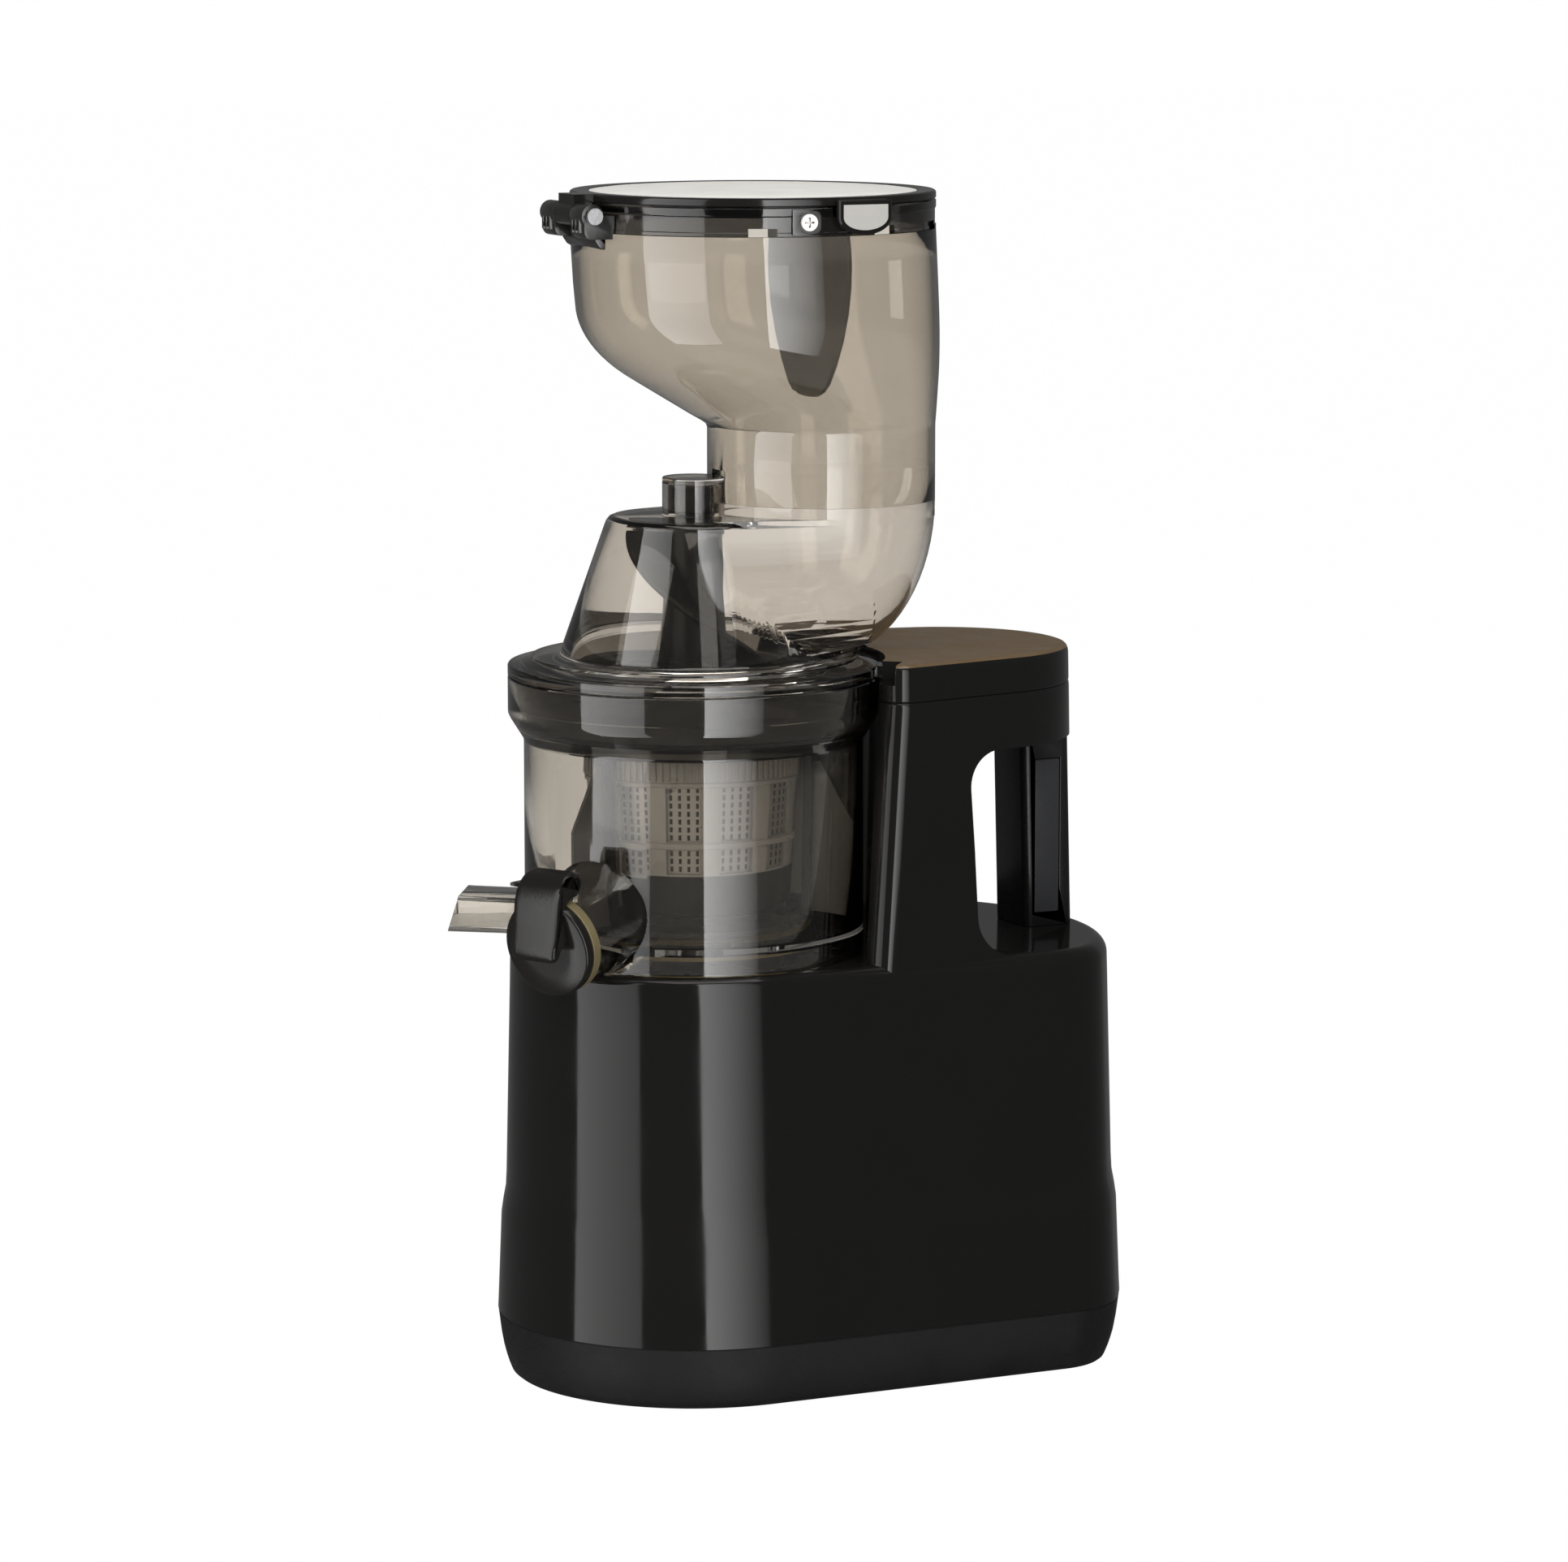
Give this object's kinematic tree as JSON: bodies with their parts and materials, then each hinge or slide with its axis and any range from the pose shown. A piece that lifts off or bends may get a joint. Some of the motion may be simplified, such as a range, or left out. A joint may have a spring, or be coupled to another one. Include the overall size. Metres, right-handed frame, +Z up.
{
  "type": "cold press juicer",
  "caption": "Upright slow juicer: oval motor base with rear tower and carry handle, clear bowl with auger and strainer, wide feed chute and hinged hopper lid.",
  "frame": {"origin": "middle of the footprint, on the surface the juicer stands on; the drive axis stands 17 mm to +X and 36 mm to -Y of it", "axes": "+Z up along the drive axis; -Y is the front, where the juice spout points; +Y is the handle"},
  "size_m": [0.1813, 0.2587, 0.4392],
  "materials": {
    "gloss_black": "high gloss moulded plastic",
    "matt_black": "fine matt texture",
    "satin_black": "satin",
    "satin_brown_black": "satin to gloss, warm black",
    "soft_grip": "soft touch",
    "rubber": "moulded rubber",
    "steel": "turned or drawn steel",
    "plated_steel": "zinc plated sheet",
    "cast_alloy": "die cast",
    "copper": "enamelled copper wire",
    "grey_plastic": "satin",
    "gear_nylon": "moulded nylon",
    "sintered_gear": "sintered metal",
    "circuit_board": "solder mask",
    "blue_plastic": "shrink sleeve",
    "red_wire": "insulation",
    "smoke_clear": "smoke tinted clear copolyester",
    "smoke_grey": "smoke tinted plastic",
    "smoke_dark": "dark smoke plastic",
    "smoke_light": "light smoke clear plastic",
    "olive_silicone": "silicone",
    "grey_silicone": "silicone",
    "soft_grey": "soft silicone",
    "auger_black": "satin moulded",
    "magnet": "nickel plated magnet"
  },
  "bodies": {
    "base": {"main_housing": "gloss_black", "base_pan": "matt_black", "rubber_feet": "rubber", "pan_screws": "steel", "bowl_deck": "gloss_black", "deck_seal": "rubber", "tower_cap": "satin_brown_black", "handle_post": "satin_brown_black", "handle_grips": "soft_grip", "switch_bezel": "matt_black", "cord_gland": "rubber", "motor_can": "plated_steel", "motor_end_bell": "cast_alloy", "motor_mounts": "rubber", "stator_core": "plated_steel", "stator_windings": "copper", "motor_bearings": "steel", "gearbox_case": "cast_alloy", "gearbox_lid": "cast_alloy", "gearbox_screws": "steel", "layshaft": "steel", "output_bearings": "steel", "control_board": "circuit_board", "board_parts": "matt_black", "run_capacitor": "blue_plastic", "interlock_sensor": "circuit_board", "wiring_harness": "red_wire"},
    "rocker": {"power_rocker": "matt_black"},
    "motor_rotor": {"rotor_core": "plated_steel", "motor_shaft": "steel", "cooling_fan": "grey_plastic"},
    "lay_gear": {"second_gear": "gear_nylon"},
    "output": {"output_gear": "sintered_gear", "drive_shaft": "steel"},
    "bowl": {"juice_bowl": "smoke_clear", "bowl_gasket": "olive_silicone", "spout_seal": "olive_silicone", "cap_pin": "steel", "idler_pin": "steel", "strainer_frame": "smoke_grey", "strainer_mesh": "steel"},
    "cap": {"juice_cap": "satin_black"},
    "idler": {"idler_gear": "gear_nylon"},
    "wiper": {"wiper_frame": "grey_plastic", "wiper_blades": "grey_silicone"},
    "auger": {"auger": "auger_black"},
    "seal": {"cover_seal": "grey_silicone"},
    "cover": {"bowl_cover": "smoke_clear", "auger_bush": "auger_black", "interlock_magnet": "magnet", "feed_chute": "smoke_clear", "hopper_collar": "smoke_dark", "collar_screws": "steel", "hinge_pin": "steel"},
    "lid": {"lid_rim": "gloss_black", "lid_window": "smoke_light", "splash_flap": "soft_grey"}
  },
  "joints": [
    {"name": "motor_spin", "type": "hinge", "parent": "base", "child": "motor_rotor", "pos_m": [0.017, 0.03655, 0.08], "axis": [0, 0, 1], "continuous": true},
    {"name": "lay_gear_spin", "type": "hinge", "parent": "base", "child": "lay_gear", "pos_m": [0.017, 0.00775, 0.11], "axis": [0, 0, 1], "continuous": true},
    {"name": "drive_spin", "type": "hinge", "parent": "base", "child": "output", "pos_m": [0.017, -0.036, 0.125], "axis": [0, 0, 1], "continuous": true},
    {"name": "power_rock", "type": "hinge", "parent": "base", "child": "rocker", "pos_m": [-0.0456, 0.024, 0.112], "axis": [0, 1, 0], "range_deg": [-11, 11]},
    {"name": "bowl_lift", "type": "slide", "parent": "base", "child": "bowl", "axis": [0, 0, 1], "range_m": [0, 0.12]},
    {"name": "cap_open", "type": "hinge", "parent": "bowl", "child": "cap", "pos_m": [0.05987, -0.11026, 0.19546], "axis": [-0.866, -0.5, 0], "range_deg": [0, 100]},
    {"name": "auger_spin", "type": "hinge", "parent": "bowl", "child": "auger", "pos_m": [0.017, -0.036, 0.2], "axis": [0, 0, 1], "continuous": true},
    {"name": "idler_spin", "type": "hinge", "parent": "bowl", "child": "idler", "pos_m": [0.017, -0.01475, 0.171], "axis": [0, 0, 1], "continuous": true},
    {"name": "wiper_spin", "type": "hinge", "parent": "bowl", "child": "wiper", "pos_m": [0.017, -0.036, 0.171], "axis": [0, 0, 1], "continuous": true},
    {"name": "cover_lift", "type": "slide", "parent": "bowl", "child": "seal", "axis": [0, 0, 1], "range_m": [0, 0.1]},
    {"name": "cover_twist", "type": "hinge", "parent": "seal", "child": "cover", "pos_m": [0.017, -0.036, 0.265], "axis": [0, 0, 1], "range_deg": [0, 28]},
    {"name": "lid_open", "type": "hinge", "parent": "cover", "child": "lid", "pos_m": [0.017, -0.084, 0.431], "axis": [1, 0, 0], "range_deg": [0, 100]}
  ],
  "couplings": [
    {"joint": "lay_gear_spin", "follows": "motor_spin", "ratio": -0.2},
    {"joint": "drive_spin", "follows": "motor_spin", "ratio": 0.05},
    {"joint": "auger_spin", "follows": "motor_spin", "ratio": 0.05},
    {"joint": "idler_spin", "follows": "motor_spin", "ratio": -0.071429},
    {"joint": "wiper_spin", "follows": "motor_spin", "ratio": -0.020833}
  ]
}
